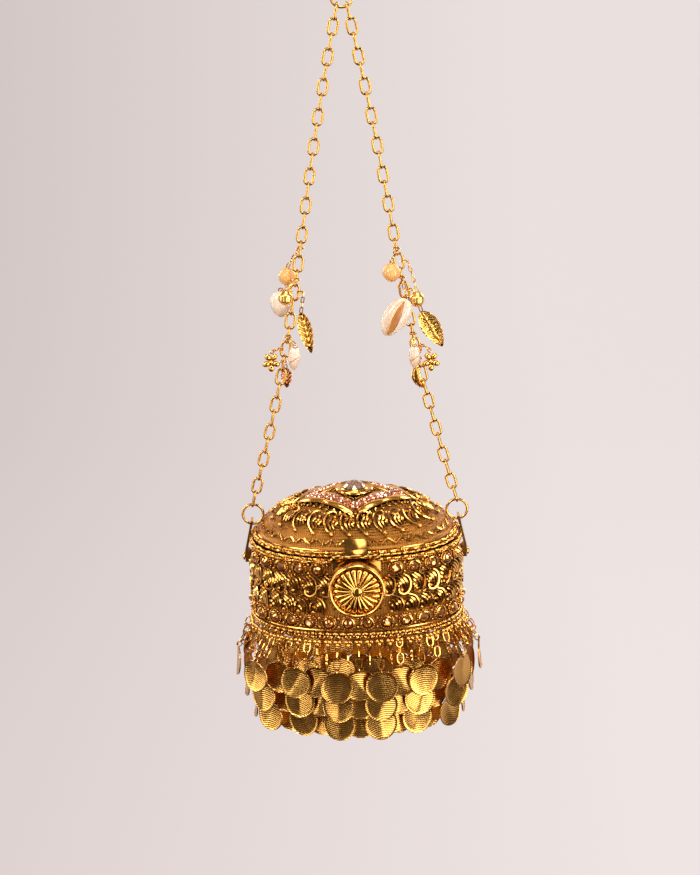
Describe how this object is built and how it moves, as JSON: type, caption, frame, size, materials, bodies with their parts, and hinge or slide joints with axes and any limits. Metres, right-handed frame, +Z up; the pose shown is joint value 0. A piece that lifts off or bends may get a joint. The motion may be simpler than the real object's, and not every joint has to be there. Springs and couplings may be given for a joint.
{
  "type": "potli bag",
  "caption": "Hard metal evening pouch: oval embossed drum, domed hinged lid, fluted button clasp, chain handle with charms and a skirt of small discs.",
  "frame": {"origin": "the top of the hole in the ring that the bag hangs from", "axes": "+Z up along the handle, the clasp towards -Y, X along the width"},
  "size_m": [0.1208, 0.0909, 0.361],
  "materials": {
    "body_gold": "polished gold, darker in the recesses",
    "lid_gold": "polished gold, darker in the recesses",
    "button_gold": "polished gold, darker in the recesses",
    "chain_gold": "polished gold wire",
    "disc_gold": "satin gold, finely lined",
    "charm_gold": "polished gold",
    "rose_gold": "satin rose gold",
    "fitting_gold": "darker polished gold",
    "pin_steel": "bright drawn wire",
    "magnet": "plated",
    "crest_stone": "faceted champagne",
    "pearl": "soft pearl sheen",
    "shell": "natural glossy shell"
  },
  "bodies": {
    "handle": {"top_ring": "chain_gold", "chain_left": "chain_gold", "chain_right": "chain_gold"},
    "bag": {"body_shell": "body_gold", "base_plate": "fitting_gold", "hinge_body_leaf": "fitting_gold", "hinge_pin": "pin_steel", "clasp_keeper": "magnet", "lug_left": "fitting_gold", "lug_right": "fitting_gold", "rivet_left": "fitting_gold", "rivet_right": "fitting_gold"},
    "lid": {"lid_shell": "lid_gold", "crest_dish": "lid_gold", "crest_stone": "crest_stone", "hinge_lid_leaf": "fitting_gold", "clasp_lid_leaf": "fitting_gold", "clasp_pin": "pin_steel"},
    "flap": {"clasp_flap": "fitting_gold", "clasp_button": "button_gold", "clasp_magnet": "magnet"},
    "fringe_01": {"fringe_group_01": "disc_gold"},
    "fringe_02": {"fringe_group_02": "disc_gold"},
    "fringe_03": {"fringe_group_03": "disc_gold"},
    "fringe_04": {"fringe_group_04": "disc_gold"},
    "fringe_05": {"fringe_group_05": "disc_gold"},
    "fringe_06": {"fringe_group_06": "disc_gold"},
    "fringe_07": {"fringe_group_07": "disc_gold"},
    "fringe_08": {"fringe_group_08": "disc_gold"},
    "fringe_09": {"fringe_group_09": "disc_gold"},
    "fringe_10": {"fringe_group_10": "disc_gold"},
    "pearl_left": {"charm_pearl_left": "pearl"},
    "bead_left": {"charm_bead_left": "charm_gold"},
    "cowrie_left": {"charm_cowrie_left": "shell"},
    "leaf_left": {"charm_leaf_left": "charm_gold"},
    "shell_left": {"charm_shell_left": "shell"},
    "flower_left": {"charm_flower_left": "charm_gold"},
    "petal_left": {"charm_petal_left": "rose_gold"},
    "pearl_right": {"charm_pearl_right": "pearl"},
    "bead_right": {"charm_bead_right": "charm_gold"},
    "cowrie_right": {"charm_cowrie_right": "shell"},
    "leaf_right": {"charm_leaf_right": "charm_gold"},
    "shell_right": {"charm_shell_right": "shell"},
    "flower_right": {"charm_flower_right": "charm_gold"},
    "crescent_right": {"charm_crescent_right": "charm_gold"}
  },
  "joints": [
    {"name": "bag_swing", "type": "hinge", "parent": "handle", "child": "bag", "pos_m": [0, 0, -0.2592], "axis": [1, 0, 0], "range_deg": [-60, 60]},
    {"name": "lid_hinge", "type": "hinge", "parent": "bag", "child": "lid", "pos_m": [0, 0.0363, -0.265], "axis": [-1, 0, 0], "range_deg": [0, 100], "deforming": ["chain_left", "chain_right"]},
    {"name": "flap_hinge", "type": "hinge", "parent": "lid", "child": "flap", "pos_m": [0, -0.0377, -0.263], "axis": [-1, 0, 0], "range_deg": [0, 100]},
    {"name": "fringe_01_sway", "type": "hinge", "parent": "bag", "child": "fringe_01", "pos_m": [0, -0.0347, -0.30695], "axis": [-1, -0.0007, 0], "range_deg": [0, 15]},
    {"name": "fringe_02_sway", "type": "hinge", "parent": "bag", "child": "fringe_02", "pos_m": [0.02882, -0.03033, -0.30695], "axis": [-0.9339, -0.3575, 0], "range_deg": [-8, 0]},
    {"name": "fringe_03_sway", "type": "hinge", "parent": "bag", "child": "fringe_03", "pos_m": [0.04842, -0.01313, -0.30695], "axis": [-0.3885, -0.9214, 0], "range_deg": [0, 15]},
    {"name": "fringe_04_sway", "type": "hinge", "parent": "bag", "child": "fringe_04", "pos_m": [0.04842, 0.01313, -0.30695], "axis": [0.3885, -0.9214, 0], "range_deg": [-8, 0]},
    {"name": "fringe_05_sway", "type": "hinge", "parent": "bag", "child": "fringe_05", "pos_m": [0.02882, 0.03033, -0.30695], "axis": [0.9339, -0.3575, 0], "range_deg": [0, 15]},
    {"name": "fringe_06_sway", "type": "hinge", "parent": "bag", "child": "fringe_06", "pos_m": [0, 0.0347, -0.30695], "axis": [1, 0.0007, 0], "range_deg": [-8, 0]},
    {"name": "fringe_07_sway", "type": "hinge", "parent": "bag", "child": "fringe_07", "pos_m": [-0.02882, 0.03033, -0.30695], "axis": [0.9339, 0.3575, 0], "range_deg": [0, 15]},
    {"name": "fringe_08_sway", "type": "hinge", "parent": "bag", "child": "fringe_08", "pos_m": [-0.04842, 0.01313, -0.30695], "axis": [0.3885, 0.9214, 0], "range_deg": [-8, 0]},
    {"name": "fringe_09_sway", "type": "hinge", "parent": "bag", "child": "fringe_09", "pos_m": [-0.04842, -0.01313, -0.30695], "axis": [-0.3885, 0.9214, 0], "range_deg": [0, 15]},
    {"name": "fringe_10_sway", "type": "hinge", "parent": "bag", "child": "fringe_10", "pos_m": [-0.02882, -0.03033, -0.30695], "axis": [-0.9339, 0.3575, 0], "range_deg": [-8, 0]},
    {"name": "pearl_left_swing", "type": "hinge", "parent": "handle", "child": "pearl_left", "pos_m": [-0.02254, 0.0021, -0.12223], "axis": [1, 0, 0], "range_deg": [0, 20]},
    {"name": "bead_left_swing", "type": "hinge", "parent": "handle", "child": "bead_left", "pos_m": [-0.02474, -0.0021, -0.13616], "axis": [-1, 0, 0], "range_deg": [0, 20]},
    {"name": "cowrie_left_swing", "type": "hinge", "parent": "handle", "child": "cowrie_left", "pos_m": [-0.02798, 0, -0.14312], "axis": [1, 0, 0], "range_deg": [0, 20]},
    {"name": "leaf_left_swing", "type": "hinge", "parent": "handle", "child": "leaf_left", "pos_m": [-0.02378, 0, -0.14312], "axis": [-1, 0, 0], "range_deg": [0, 20]},
    {"name": "shell_left_swing", "type": "hinge", "parent": "handle", "child": "shell_left", "pos_m": [-0.02953, -0.0021, -0.16395], "axis": [-1, 0, 0], "range_deg": [0, 20]},
    {"name": "flower_left_swing", "type": "hinge", "parent": "handle", "child": "flower_left", "pos_m": [-0.03295, 0, -0.17088], "axis": [-1, 0, 0], "range_deg": [0, 20]},
    {"name": "petal_left_swing", "type": "hinge", "parent": "handle", "child": "petal_left", "pos_m": [-0.03223, 0.0021, -0.1778], "axis": [1, 0, 0], "range_deg": [0, 20]},
    {"name": "pearl_right_swing", "type": "hinge", "parent": "handle", "child": "pearl_right", "pos_m": [0.02254, -0.0021, -0.12223], "axis": [-1, 0, 0], "range_deg": [0, 20]},
    {"name": "bead_right_swing", "type": "hinge", "parent": "handle", "child": "bead_right", "pos_m": [0.02573, 0, -0.1292], "axis": [-1, 0, 0], "range_deg": [0, 20]},
    {"name": "cowrie_right_swing", "type": "hinge", "parent": "handle", "child": "cowrie_right", "pos_m": [0.02474, -0.0021, -0.13616], "axis": [-1, 0, 0], "range_deg": [0, 20]},
    {"name": "leaf_right_swing", "type": "hinge", "parent": "handle", "child": "leaf_right", "pos_m": [0.02798, 0, -0.14312], "axis": [-1, 0, 0], "range_deg": [0, 20]},
    {"name": "shell_right_swing", "type": "hinge", "parent": "handle", "child": "shell_right", "pos_m": [0.02953, -0.0021, -0.16395], "axis": [-1, 0, 0], "range_deg": [0, 20]},
    {"name": "flower_right_swing", "type": "hinge", "parent": "handle", "child": "flower_right", "pos_m": [0.03295, 0, -0.17088], "axis": [-1, 0, 0], "range_deg": [0, 20]},
    {"name": "crescent_right_swing", "type": "hinge", "parent": "handle", "child": "crescent_right", "pos_m": [0.03223, 0.0021, -0.1778], "axis": [1, 0, 0], "range_deg": [0, 20]}
  ]
}
